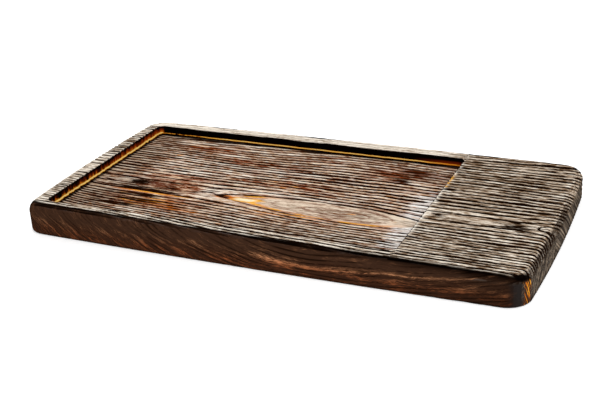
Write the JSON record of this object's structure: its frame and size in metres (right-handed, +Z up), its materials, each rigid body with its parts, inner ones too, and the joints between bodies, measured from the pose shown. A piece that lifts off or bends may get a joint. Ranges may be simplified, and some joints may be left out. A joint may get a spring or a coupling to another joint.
{
  "type": "wooden tray",
  "caption": "Thick brushed and burnt softwood serving tray with rounded corners, a shallow off-centre rectangular recess and a plain land at one end, glued up from dowelled staves",
  "frame": {"origin": "centre of the underside, in the plane that the tray stands on", "axes": "+X along the grain towards the plain land, +Y from the front rim to the back rim, +Z up out of the recess"},
  "size_m": [0.35, 0.182, 0.02],
  "materials": {
    "brushed_wood": "brushed, burnt softwood with a dull oiled sheen",
    "dowel_wood": "plain turned beech"
  },
  "bodies": {
    "root": {"front_stave": "brushed_wood", "front_inner_stave": "brushed_wood", "rear_inner_stave": "brushed_wood", "rear_stave": "brushed_wood", "front_dowel_1": "dowel_wood", "front_dowel_2": "dowel_wood", "front_dowel_3": "dowel_wood", "front_dowel_4": "dowel_wood", "middle_dowel_1": "dowel_wood", "middle_dowel_2": "dowel_wood", "middle_dowel_3": "dowel_wood", "middle_dowel_4": "dowel_wood", "rear_dowel_1": "dowel_wood", "rear_dowel_2": "dowel_wood", "rear_dowel_3": "dowel_wood", "rear_dowel_4": "dowel_wood"}
  },
  "joints": []
}
